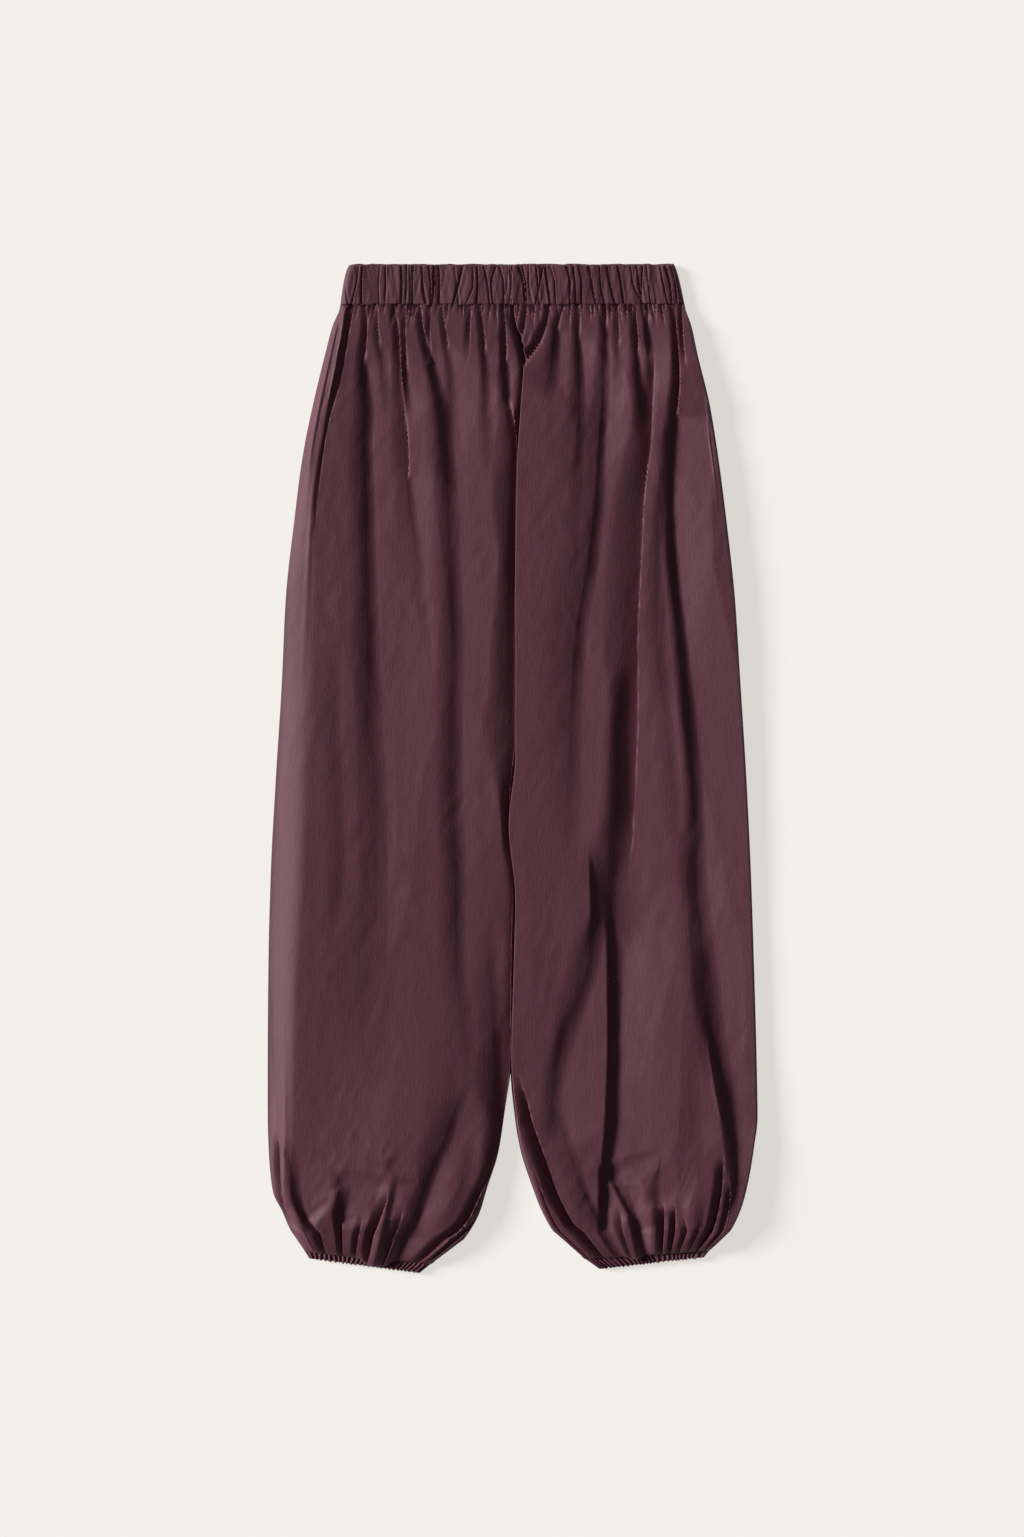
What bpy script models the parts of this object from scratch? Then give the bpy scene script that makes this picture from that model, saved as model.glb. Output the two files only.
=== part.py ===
"""Balloon trousers with a gathered waistband and gathered hems, laid flat with the front up.

Sizes are in millimetres and become metres where a mesh is made. X runs towards the wearer's left, Y from the
hems to the waist, and Z up from the surface that the trousers lie on. "Down" is the distance below the top
edge of the waistband, and "across" is measured from the middle of the waist.
"""

import math
from collections import namedtuple

import bmesh
import bpy

COLLECTION = "balloon_trousers"
MM = 0.001

# Driving sizes of the garment
LENGTH = 1009.0
BAND_HEIGHT = 42.0
BAND_TOP_HALF = 160.5
BAND_FOOT_HALF = 172.0
BAND_GATHERS = 55
HEM_PLEATS = 20

# Cloth and the gaps between pieces
CLOTH = 1.5
GAP = 0.3
ELASTIC_BACK = 3.0
ELASTIC_FRONT = 2.7
HEM_BACK = 2.6
HEM_FRONT = 2.1
BAND_RIDGE = 2.2
HEM_RIDGE = 1.6
LIP = 2.0
FLOOR = 4.2
SEAM_PINCH = 0.35
BAND_END_ROLL = 9.0
HEM_END_ROLL = 6.0

# How unevenly the gathers of a strip lie, in steps between two gathers, and how their height varies
GATHER_SHIFT = 0.35
BAND_SLANT = 0.8
HEM_SLANT = 0.4
STRIP_END_SHARE = 0.45
LOWEST_CREST = 0.75

# Grid density: steps between two neighbouring folds, and between two neighbouring sections
FOLD_STEPS = 4
SECTION_STEPS = (1, 1, 1, 2, 2, 2, 1, 1, 1, 1, 1, 1, 1, 1, 2, 2, 2, 1, 1)
EDGE_STEPS = (0.0, 0.06, 0.24, 0.6)
BACK_EDGE_STEPS = (0.0, 0.26, 0.6, 1.0)
BACK_MIDDLE_STEPS = 6
BACK_ROLL = 11.0
FIRST_COLUMN_SHARE = 0.03
LAST_COLUMN_SHARE = 0.975
BAND_ROWS = 4
HEM_ROWS = 3
BAND_BACK_STEPS = 12
HEM_BACK_STEPS = 6

# Two turns from each gather to the next, in radians, that together never repeat along a strip
SLOW_TURN = 2.399
FAST_TURN = 5.13
SLOW_SHARE = 0.6
SLANT_OFFSET = 7
CREST_STRIDE = 3

COLOUR = (0.105, 0.044, 0.062, 1.0)
BAND_COLOUR = (0.112, 0.048, 0.067, 1.0)
ROUGHNESS = 0.82

# One row for each cross-section of a leg: where its outer edge lies, how far its inner edge parts from the
# middle line, the height of its ridges, the height of its two side seams and how widely its edges round over
Section = namedtuple("Section", "outer outer_down parting inner_down loft outer_seam inner_seam outer_roll inner_roll")
Row = namedtuple("Row", "outer outer_down inner inner_down loft outer_seam inner_seam outer_roll inner_roll")

RIGHT_SECTIONS = (
    Section(-172.0, 42.0, 0.0, 42.0, 8.0, 4.2, 2.0, 8, 9),
    Section(-173.0, 47.0, 0.0, 47.0, 8.0, 4.2, 2.0, 8, 9),
    Section(-179.5, 62.0, 0.0, 62.0, 11.5, 4.6, 2.0, 9, 9),
    Section(-187.5, 92.0, 0.0, 92.0, 13.5, 5.0, 2.0, 10, 9),
    Section(-199.5, 142.0, 0.0, 142.0, 14.5, 5.2, 2.0, 11, 9),
    Section(-210.0, 195.0, 0.0, 195.0, 14.5, 5.4, 2.0, 12, 9),
    Section(-218.5, 261.0, 0.0, 261.0, 14.5, 5.4, 2.0, 13, 9),
    Section(-226.5, 335.0, 0.0, 335.0, 14.0, 5.4, 2.0, 14, 9),
    Section(-230.5, 420.0, 0.0, 420.0, 14.0, 5.4, 2.0, 14, 9),
    Section(-236.5, 516.0, 0.0, 516.0, 14.0, 5.6, 2.0, 14, 9),
    Section(-241.5, 610.0, 0.0, 610.0, 14.5, 6.0, 2.0, 15, 11),
    Section(-243.8, 700.0, 0.0, 700.0, 15.5, 6.4, 2.0, 16, 13),
    Section(-244.5, 790.0, 0.0, 790.0, 17.0, 7.0, 3.2, 18, 16),
    Section(-244.5, 850.0, 6.2, 850.0, 19.0, 7.6, 5.6, 20, 20),
    Section(-243.4, 888.0, 12.0, 888.0, 20.5, 8.0, 7.4, 22, 22),
    Section(-239.5, 926.0, 22.0, 920.0, 21.0, 8.0, 8.0, 24, 24),
    Section(-230.5, 946.0, 31.5, 950.0, 20.0, 7.6, 8.0, 24, 24),
    Section(-221.5, 966.0, 46.0, 974.0, 16.5, 6.6, 7.0, 20, 22),
    Section(-214.5, 977.5, 61.0, 989.0, 12.5, 5.2, 5.6, 14, 16),
    Section(-207.0, 987.0, 79.0, 999.0, 7.6, 3.4, 3.4, 8, 8),
)

LEFT_SECTIONS = (
    Section(172.0, 42.0, 0.0, 42.0, 8.0, 4.2, 2.0, 8, 9),
    Section(173.0, 47.0, 0.0, 47.0, 8.0, 4.2, 2.0, 8, 9),
    Section(178.5, 62.0, 0.0, 62.0, 11.5, 4.6, 2.0, 9, 8),
    Section(185.0, 92.0, 0.0, 92.0, 13.5, 5.4, 2.0, 10, 6),
    Section(197.0, 142.0, 0.0, 142.0, 15.0, 6.2, 2.0, 10, 5),
    Section(205.5, 195.0, 0.0, 195.0, 15.0, 6.8, 2.0, 10, 5),
    Section(214.0, 261.0, 0.0, 261.0, 15.0, 7.0, 2.0, 11, 5),
    Section(222.0, 335.0, 0.0, 335.0, 15.0, 7.0, 2.0, 12, 5),
    Section(227.5, 420.0, 0.0, 420.0, 15.0, 7.0, 2.0, 12, 6),
    Section(233.5, 516.0, 0.0, 516.0, 14.5, 6.6, 2.0, 13, 7),
    Section(238.0, 610.0, 0.0, 610.0, 14.5, 6.4, 2.0, 14, 8),
    Section(241.0, 700.0, 0.0, 700.0, 15.5, 6.4, 2.0, 15, 10),
    Section(243.5, 790.0, 0.0, 790.0, 17.0, 7.0, 3.2, 17, 14),
    Section(244.5, 850.0, 4.6, 850.0, 19.0, 7.6, 5.6, 20, 18),
    Section(241.0, 882.0, 10.8, 886.0, 20.5, 8.0, 7.4, 22, 22),
    Section(234.5, 920.0, 22.5, 922.0, 21.0, 8.0, 8.0, 24, 24),
    Section(228.0, 944.0, 31.0, 944.0, 20.0, 7.6, 8.0, 24, 24),
    Section(217.5, 966.0, 43.0, 966.0, 16.5, 6.6, 7.0, 20, 22),
    Section(208.0, 976.0, 58.0, 983.0, 12.5, 5.2, 5.6, 14, 16),
    Section(196.5, 986.0, 75.0, 994.0, 7.6, 3.4, 3.4, 8, 8),
)

# Where each hem casing's foot ends, across and down, at its outer and its inner end
RIGHT_HEM_FEET = ((-203.0, 994.0), (-93.0, LENGTH))
LEFT_HEM_FEET = ((191.0, 993.0), (87.0, 1004.5))

# The middle line: the centre front seam, and below the crotch the line where the legs lie side by side
MIDDLE_DOWN = (42.0, 47.0, 95.0, 142.0, 209.0, 325.0, 492.0, 560.0, 635.0, 700.0, 796.0, 1009.0)
MIDDLE_ACROSS = (0.0, 0.0, 10.0, 7.0, 3.0, 1.5, 1.5, -5.0, 1.5, 0.0, -2.5, -2.5)

# One row for each fold that starts in the waist seam. The first eight columns are where its valley lies across,
# at the eight stations. It is "depth" deep as far as "full", and has faded out at "end". "left" and "right" are
# the widths of its two walls.
Fold = namedtuple("Fold", "waist top hip seat thigh knee shin calf depth full end left right")
STATIONS = (42.0, 92.0, 142.0, 242.0, 342.0, 492.0, 692.0, 892.0)

RIGHT_FOLDS = (
    Fold(-162.5, -173.0, -184.5, -198.0, -204.0, -210.0, -214.0, -214.0, 5.0, 150, 300, 7, 9),
    Fold(-148.5, -150.0, -152.5, -151.5, -148.5, -140.5, -140.0, -150.0, 9.5, 300, 620, 9, 11),
    Fold(-137.5, -130.0, -124.5, -127.0, -124.0, -115.0, -112.0, -120.0, 3.0, 80, 150, 5, 6),
    Fold(-121.5, -115.0, -111.0, -105.0, -100.0, -92.0, -88.0, -96.0, 8.0, 190, 330, 7, 9),
    Fold(-95.0, -85.0, -77.0, -68.0, -64.0, -60.5, -56.5, -62.0, 10.0, 480, 800, 8, 13),
    Fold(-73.5, -65.0, -62.0, -52.0, -48.0, -44.0, -42.0, -47.0, 4.0, 90, 190, 6, 7),
    Fold(-46.0, -47.0, -46.0, -40.0, -37.0, -33.0, -30.0, -34.0, 3.5, 70, 130, 6, 7),
    Fold(-34.0, -27.0, -27.0, -28.0, -26.0, -23.0, -20.0, -24.0, 5.5, 110, 240, 6, 8),
    Fold(-11.5, -8.0, -5.5, -7.0, -8.0, -9.0, -9.5, -12.0, 11.0, 640, 850, 9, 30),
)

LEFT_FOLDS = (
    Fold(12.0, 16.0, 17.0, 15.0, 14.0, 14.0, 14.0, 22.0, 4.0, 60, 100, 7, 6),
    Fold(35.5, 25.0, 27.0, 27.0, 26.0, 26.0, 26.0, 36.0, 7.0, 80, 115, 8, 7),
    Fold(49.5, 42.0, 38.0, 38.0, 38.0, 38.0, 38.0, 48.0, 5.0, 90, 150, 7, 8),
    Fold(64.5, 64.0, 60.0, 54.0, 48.0, 45.0, 45.0, 56.0, 4.0, 100, 190, 8, 8),
    Fold(90.5, 88.0, 86.5, 78.0, 62.0, 56.0, 55.0, 64.0, 7.0, 330, 580, 13, 12),
    Fold(103.0, 107.0, 107.0, 100.0, 92.0, 84.0, 80.0, 76.0, 3.0, 70, 130, 6, 6),
    Fold(120.5, 126.0, 126.5, 123.5, 120.0, 107.5, 100.0, 92.0, 12.0, 760, 930, 12, 8),
    Fold(134.0, 139.0, 140.0, 138.0, 138.0, 140.0, 142.0, 150.0, 4.5, 70, 130, 6, 6),
    Fold(158.0, 160.0, 160.5, 156.5, 164.5, 179.5, 196.5, 214.0, 10.5, 560, 900, 8, 12),
)

# One row for each fold that starts in a hem seam: its foot in the seam, its head up the leg, its depth and width
HemFold = namedtuple("HemFold", "foot foot_down head head_down depth width")

RIGHT_HEM_FOLDS = (
    HemFold(-192.0, 984.0, -221.0, 920.0, 7.0, 9.0),
    HemFold(-168.0, 986.0, -179.0, 945.0, 7.0, 7.0),
    HemFold(-147.0, 988.0, -131.0, 938.0, 8.0, 8.0),
    HemFold(-122.0, 992.0, -64.0, 862.0, 7.0, 13.0),
    HemFold(-98.0, 995.0, -38.0, 950.0, 5.0, 8.0),
)

LEFT_HEM_FOLDS = (
    HemFold(82.0, 990.0, 20.0, 880.0, 5.0, 8.0),
    HemFold(104.0, 989.0, 76.0, 950.0, 5.0, 6.0),
    HemFold(124.0, 986.0, 89.0, 905.0, 8.0, 8.0),
    HemFold(140.0, 985.0, 112.0, 935.0, 7.0, 7.0),
    HemFold(158.0, 983.0, 152.0, 945.0, 7.0, 7.0),
    HemFold(178.0, 982.0, 212.0, 905.0, 6.0, 9.0),
)


def slopes(stations, values):
    """Slopes of the smooth curve through some values, level at each turning point so that it never overshoots."""
    steps = [(values[k + 1] - values[k]) / (stations[k + 1] - stations[k]) for k in range(len(values) - 1)]
    inner = [0.0 if a * b <= 0 else 2 * a * b / (a + b) for a, b in zip(steps, steps[1:])]
    return [steps[0]] + inner + [steps[-1]]


def curve_value(stations, values, at):
    """Value at one place on the smooth curve through some values."""
    at = min(max(at, stations[0]), stations[-1])
    k = max(i for i in range(len(stations) - 1) if stations[i] <= at or i == 0)
    span = stations[k + 1] - stations[k]
    t = (at - stations[k]) / span
    slope = slopes(stations, values)
    start = (1 + 2 * t) * (1 - t) ** 2 * values[k] + t * (1 - t) ** 2 * span * slope[k]
    return start + t * t * (3 - 2 * t) * values[k + 1] + t * t * (t - 1) * span * slope[k + 1]


def ease(t):
    """Smooth step from 0 to 1."""
    t = min(max(t, 0.0), 1.0)
    return t * t * (3 - 2 * t)


def middle(down):
    return curve_value(MIDDLE_DOWN, MIDDLE_ACROSS, down)


def leg_rows(sections, side):
    """Smooth rows down a leg, worked out from its sections. A row has its inner edge where a section has a parting."""
    index = list(range(len(sections)))
    columns = list(zip(*sections))
    rows = []
    for k, steps in enumerate(SECTION_STEPS):
        for step in range(steps):
            place = k + step / steps
            rows.append([curve_value(index, column, place) for column in columns])
    rows.append([float(value) for value in sections[-1]])
    first_down = BAND_HEIGHT + GAP / 2
    rows[0][1] = first_down
    rows[0][3] = first_down
    for row in rows:
        row[2] = middle(row[3]) + side * (GAP / 2 + row[2])
    return [Row(*row) for row in rows]


def fold_across(fold, down):
    return curve_value(STATIONS, fold[: len(STATIONS)], down)


def fold_depth(fold, across, down):
    """How far one waist fold lowers the cloth at a point."""
    offset = across - fold_across(fold, down)
    width = fold.left if offset < 0 else fold.right
    if abs(offset) >= width:
        return 0.0
    fade = 1.0 - ease((down - fold.full) / (fold.end - fold.full))
    return fold.depth * fade * (1.0 - ease(abs(offset) / width))


def hem_fold_depth(fold, across, down):
    """How far one hem fold lowers the cloth at a point: it is full at its foot and fades out at its head."""
    run_across = fold.head - fold.foot
    run_down = fold.head_down - fold.foot_down
    length = math.hypot(run_across, run_down)
    along = ((across - fold.foot) * run_across + (down - fold.foot_down) * run_down) / length ** 2
    off = abs((across - fold.foot) * run_down - (down - fold.foot_down) * run_across) / length
    if off >= fold.width:
        return 0.0
    fade = ease(1.0 - along) if along > 0 else 1.0
    return fold.depth * fade * (1.0 - ease(off / fold.width))


def rounded(distance, roll):
    """Height share of a rounded edge at some distance from it."""
    return math.sqrt(max(0.0, 1.0 - (1.0 - min(distance / roll, 1.0)) ** 2))


def front_height(row, across, down, folds, hem_folds, pinch):
    """Height of the front's outer side above the surface it lies on."""
    outer_start = row.outer_seam + GAP / 2 + LIP
    inner_start = row.inner_seam + GAP / 2 + LIP
    outer_share = rounded(abs(across - row.outer), row.outer_roll)
    inner_share = rounded(abs(across - row.inner), row.inner_roll)
    height = min(
        outer_start + (row.loft - outer_start) * outer_share, inner_start + (row.loft - inner_start) * inner_share
    )
    depth = max(fold_depth(fold, across, down) for fold in folds) * pinch
    hem_depth = max(hem_fold_depth(fold, across, down) for fold in hem_folds) * pinch
    floor = min(FLOOR, height)
    return max(height - max(depth, hem_depth), floor)


def front_columns(row, folds):
    """Shares across a row where the grid has its columns: on each fold's valley and evenly between them."""
    down = min((row.outer_down + row.inner_down) / 2, STATIONS[-1])
    reach = row.inner - row.outer
    guides = sorted((fold_across(fold, down) - row.outer) / reach for fold in folds)
    guides = [min(max(share, FIRST_COLUMN_SHARE), LAST_COLUMN_SHARE) for share in guides]
    shares = [0.0]
    shares += [guides[0] * step for step in EDGE_STEPS]
    for a, b in zip(guides, guides[1:]):
        shares += [a + (b - a) * step / FOLD_STEPS for step in range(FOLD_STEPS)]
    shares.append(guides[-1])
    shares += [1.0 - (1.0 - guides[-1]) * step for step in reversed(EDGE_STEPS)]
    shares.append(1.0)
    return shares


def grid(columns, rows, place):
    """An open grid whose points are set by place(column, row), with its faces looking up."""
    bm = bmesh.new()
    bmesh.ops.create_grid(bm, x_segments=columns - 1, y_segments=rows - 1, size=1.0)
    for vert in bm.verts:
        column = round((vert.co.x + 1.0) / 2.0 * (columns - 1))
        row = round((vert.co.y + 1.0) / 2.0 * (rows - 1))
        across, down, height = place(column, row)
        vert.co = (across * MM, (LENGTH / 2 - down) * MM, height * MM)
    return bm


def mesh_object(name, bm, colour):
    mesh = bpy.data.meshes.new(name)
    bm.to_mesh(mesh)
    bm.free()
    mesh.shade_smooth()
    item = bpy.data.objects.new(name, mesh)
    bpy.data.collections[COLLECTION].objects.link(item)
    mesh.materials.append(cloth_material(name + "_cloth", colour))
    return item


def cloth_material(name, colour):
    material = bpy.data.materials.new(name)
    material.use_nodes = True
    shader = material.node_tree.nodes["Principled BSDF"]
    shader.inputs["Base Color"].default_value = colour
    shader.inputs["Roughness"].default_value = ROUGHNESS
    shader.inputs["Metallic"].default_value = 0.0
    return material


def add_wall(item, thickness, offset):
    """Cloth thickness: offset -1 grows it below the grid, +1 above it."""
    wall = item.modifiers.new("wall", "SOLIDIFY")
    wall.thickness = thickness * MM
    wall.offset = offset
    wall.use_even_offset = True
    wall.thickness_clamp = 1.0


def leg_front(name, sections, side, folds, hem_folds):
    """Front panel of one leg: a draped wall whose folds start in the waist seam and in the hem seam."""
    rows = leg_rows(sections, side)
    shares = []
    for row in rows:
        below_stations = row.outer_down > STATIONS[-1]
        shares.append(shares[-1] if below_stations else front_columns(row, folds))
    count = len(shares[0])

    def place(column, row_index):
        at = len(rows) - 1 - row_index
        row = rows[at]
        number = column if side < 0 else count - 1 - column
        share = shares[at][number]
        across = row.outer + (row.inner - row.outer) * share
        down = row.outer_down + (row.inner_down - row.outer_down) * share
        if number == 0:
            return across, down, row.outer_seam + GAP / 2
        if number == count - 1:
            return across, down, row.inner_seam + GAP / 2
        pinch = SEAM_PINCH if at <= 1 else 1.0
        return across, down, front_height(row, across, down, folds, hem_folds, pinch)

    add_wall(mesh_object(name, grid(count, len(rows), place), COLOUR), CLOTH, -1.0)


def leg_back(name, sections, side):
    """Back panel of one leg: flat where it lies, and turned up at both edges to meet the front."""
    rows = leg_rows(sections, side)
    middle_steps = [step / BACK_MIDDLE_STEPS for step in range(1, BACK_MIDDLE_STEPS)]
    edge_count = len(BACK_EDGE_STEPS) + 1
    count = 2 * edge_count + len(middle_steps)

    def edge_point(number, edge, inward, seam):
        turn = max(seam - GAP / 2 - LIP, 0.0)
        if number == 0:
            return edge, seam - GAP / 2
        distance = BACK_EDGE_STEPS[number - 1] * BACK_ROLL
        return edge + inward * distance, turn * (1.0 - rounded(distance, BACK_ROLL))

    def place(column, row_index):
        row = rows[len(rows) - 1 - row_index]
        number = column if side < 0 else count - 1 - column
        if number < edge_count:
            across, height = edge_point(number, row.outer, -side, row.outer_seam)
        elif number >= count - edge_count:
            across, height = edge_point(count - 1 - number, row.inner, side, row.inner_seam)
        else:
            start = row.outer - side * BACK_ROLL
            end = row.inner + side * BACK_ROLL
            across = start + (end - start) * middle_steps[number - edge_count]
            height = 0.0
        share = (across - row.outer) / (row.inner - row.outer)
        return across, row.outer_down + (row.inner_down - row.outer_down) * share, height

    add_wall(mesh_object(name, grid(count, len(rows), place), COLOUR), CLOTH, 1.0)


def uneven(number):
    """A repeatable unevenness from -1 to 1 for one gather."""
    return math.sin(number * SLOW_TURN) * SLOW_SHARE + math.sin(number * FAST_TURN + 1.0) * (1.0 - SLOW_SHARE)


def gathered_strip(name, corners, pleats, rows, inside, plain, ridge, roll, slant, colour):
    """A flat strip between four corners, with gathers raised on its outer side over a plain inside."""
    top_start, top_end, foot_start, foot_end = corners
    count = 2 * pleats + 1
    width = math.hypot(top_end[0] - top_start[0], top_end[1] - top_start[1])

    def place(column, row_index):
        share = column / (count - 1)
        drop = 1.0 - row_index / (rows - 1)
        shift = uneven(column // 2) * GATHER_SHIFT + uneven(column // 2 + SLANT_OFFSET) * slant * (drop - 0.5)
        if 0 < column < count - 1:
            share += shift / (count - 1)
        top = [a + (b - a) * share for a, b in zip(top_start, top_end)]
        foot = [a + (b - a) * share for a, b in zip(foot_start, foot_end)]
        across, down = [a + (b - a) * drop for a, b in zip(top, foot)]
        edge = min(share, 1.0 - share) * width
        lift = LOWEST_CREST + (1.0 - LOWEST_CREST) * uneven(column * CREST_STRIDE)
        crest = ridge * lift if column % 2 else 0.0
        share_left = STRIP_END_SHARE + (1.0 - STRIP_END_SHARE) * rounded(edge, roll)
        return across, down, inside + plain * share_left + crest * rounded(edge, roll)

    bm = grid(count, rows, place)
    grown = bmesh.ops.extrude_face_region(bm, geom=bm.faces[:])
    for vert in (part for part in grown["geom"] if isinstance(part, bmesh.types.BMVert)):
        vert.co.z = inside * MM
    bmesh.ops.recalc_face_normals(bm, faces=bm.faces[:])
    mesh_object(name, bm, colour)


def plain_strip(name, corners, steps, thickness, colour):
    """A flat strip that lies on the surface, between four corners."""
    top_start, top_end, foot_start, foot_end = corners

    def place(column, row_index):
        share = column / steps
        top = [a + (b - a) * share for a, b in zip(top_start, top_end)]
        foot = [a + (b - a) * share for a, b in zip(foot_start, foot_end)]
        across, down = foot if row_index == 0 else top
        return across, down, 0.0

    add_wall(mesh_object(name, grid(steps + 1, 2, place), colour), thickness, 1.0)


def waistband():
    foot = BAND_HEIGHT - GAP / 2
    corners = ((-BAND_TOP_HALF, 0.0), (BAND_TOP_HALF, 0.0), (-BAND_FOOT_HALF, foot), (BAND_FOOT_HALF, foot))
    plain_strip("waistband_back", corners, BAND_BACK_STEPS, ELASTIC_BACK, BAND_COLOUR)
    gathered_strip(
        "waistband_front", corners, BAND_GATHERS, BAND_ROWS, ELASTIC_BACK + GAP, ELASTIC_FRONT, BAND_RIDGE,
        BAND_END_ROLL, BAND_SLANT, BAND_COLOUR,
    )


def hem(prefix, sections, side, foot_outer, foot_inner):
    """One leg's elastic casing: a gathered front strip on a plain back strip."""
    last = leg_rows(sections, side)[-1]
    outer = (last.outer, last.outer_down + GAP)
    inner = (last.inner, last.inner_down + GAP)
    corners = (outer, inner, foot_outer, foot_inner)
    if side > 0:
        corners = (inner, outer, foot_inner, foot_outer)
    plain_strip(prefix + "_hem_back", corners, HEM_BACK_STEPS, HEM_BACK, COLOUR)
    gathered_strip(
        prefix + "_hem_front", corners, HEM_PLEATS, HEM_ROWS, HEM_BACK + GAP, HEM_FRONT, HEM_RIDGE,
        HEM_END_ROLL, HEM_SLANT, COLOUR,
    )


def build():
    for item in list(bpy.data.objects):
        bpy.data.objects.remove(item, do_unlink=True)
    collection = bpy.data.collections.new(COLLECTION)
    bpy.context.scene.collection.children.link(collection)
    waistband()
    leg_front("right_front_leg", RIGHT_SECTIONS, -1.0, RIGHT_FOLDS, RIGHT_HEM_FOLDS)
    leg_front("left_front_leg", LEFT_SECTIONS, 1.0, LEFT_FOLDS, LEFT_HEM_FOLDS)
    leg_back("right_back_leg", RIGHT_SECTIONS, -1.0)
    leg_back("left_back_leg", LEFT_SECTIONS, 1.0)
    hem("right", RIGHT_SECTIONS, -1.0, *RIGHT_HEM_FEET)
    hem("left", LEFT_SECTIONS, 1.0, *LEFT_HEM_FEET)


build()
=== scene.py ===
"""Looks of the balloon trousers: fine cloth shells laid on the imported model, with its floor, lights and camera.

Sizes are in millimetres and become metres where a mesh is made. X runs towards the wearer's left, Y from the
hems to the waist and Z up. "Down" is the distance below the waistband's top edge, and "across" is measured from
the middle of the waist. Sides are the wearer's, so the right leg is on the left of the picture.
"""

import math
from collections import namedtuple

import bpy
import numpy as np
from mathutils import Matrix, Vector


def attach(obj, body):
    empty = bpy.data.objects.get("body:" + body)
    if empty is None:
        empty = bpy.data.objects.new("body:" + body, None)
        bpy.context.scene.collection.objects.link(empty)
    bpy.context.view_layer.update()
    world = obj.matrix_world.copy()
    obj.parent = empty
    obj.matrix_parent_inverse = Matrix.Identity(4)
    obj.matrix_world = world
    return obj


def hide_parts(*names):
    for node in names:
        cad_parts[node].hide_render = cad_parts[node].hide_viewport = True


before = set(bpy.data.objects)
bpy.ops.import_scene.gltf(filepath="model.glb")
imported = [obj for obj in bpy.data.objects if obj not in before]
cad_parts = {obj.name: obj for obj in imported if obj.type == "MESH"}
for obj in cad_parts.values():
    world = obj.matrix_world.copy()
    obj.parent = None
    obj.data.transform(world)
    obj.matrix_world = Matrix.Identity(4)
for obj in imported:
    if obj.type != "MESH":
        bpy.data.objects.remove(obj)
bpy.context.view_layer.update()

MM = 0.001
LENGTH = 1009.0
BAND_HEIGHT = 42.0
BAND_TOP_HALF = 160.5
BAND_FOOT_HALF = 172.0
CLOTH = 0.45
GAP = 0.3
LIP = 1.2
FLOOR = 2.4
DEEPEST = 13.5
UNDERCUT_SHARE = 0.12
SEAM_TUCK = 1.4
LIT_SEAM = 1.8
RISE_LEAST, RISE_MOST = 0.075, 0.18
CRISP_WIDTH = 3.0
FLOOR_SHARE = 0.42
LIP_ANGLE = 48.0

# How the photograph was framed: one of its pixels is one millimetre at the garment
PHOTO_HIGH = 1.537
CAMERA_SHIFT = (-0.0005, 0.0)
CAMERA_HEIGHT = 3.2
SENSOR = 36.0

# One row for each cross-section of a leg, as in the solids
Section = namedtuple("Section", "outer outer_down parting inner_down loft outer_seam inner_seam outer_roll inner_roll")

RIGHT_SECTIONS = (
    Section(-172.0, 42.0, 0.0, 42.0, 8.0, 4.2, 2.0, 8, 9),
    Section(-173.0, 47.0, 0.0, 47.0, 9.5, 4.2, 2.0, 8, 9),
    Section(-179.5, 62.0, 0.0, 62.0, 12.0, 4.6, 2.0, 9, 9),
    Section(-187.5, 92.0, 0.0, 92.0, 13.5, 5.0, 2.0, 10, 9),
    Section(-199.5, 142.0, 0.0, 142.0, 14.5, 5.2, 2.0, 11, 9),
    Section(-210.0, 195.0, 0.0, 195.0, 14.5, 5.4, 2.0, 12, 9),
    Section(-218.5, 261.0, 0.0, 261.0, 14.5, 5.4, 2.0, 13, 9),
    Section(-226.5, 335.0, 0.0, 335.0, 14.0, 5.4, 2.0, 14, 9),
    Section(-230.5, 420.0, 0.0, 420.0, 14.0, 5.4, 2.0, 14, 9),
    Section(-236.5, 516.0, 0.0, 516.0, 14.0, 5.6, 2.0, 14, 9),
    Section(-241.5, 610.0, 0.0, 610.0, 14.5, 6.0, 2.0, 15, 11),
    Section(-243.8, 700.0, 0.0, 700.0, 15.5, 6.4, 2.0, 16, 13),
    Section(-244.5, 790.0, 0.0, 790.0, 17.0, 7.0, 3.2, 18, 16),
    Section(-244.5, 850.0, 6.2, 850.0, 19.0, 7.6, 5.6, 20, 20),
    Section(-243.4, 888.0, 12.0, 888.0, 20.5, 8.0, 7.4, 22, 22),
    Section(-239.5, 926.0, 22.0, 920.0, 21.0, 8.0, 8.0, 24, 24),
    Section(-230.5, 946.0, 31.5, 950.0, 20.0, 7.6, 8.0, 24, 24),
    Section(-221.5, 966.0, 46.0, 974.0, 17.0, 6.6, 7.0, 20, 22),
    Section(-214.5, 977.5, 61.0, 989.0, 13.0, 5.2, 5.6, 14, 16),
    Section(-207.0, 987.0, 79.0, 999.0, 7.6, 3.4, 3.4, 8, 8),
)

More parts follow.
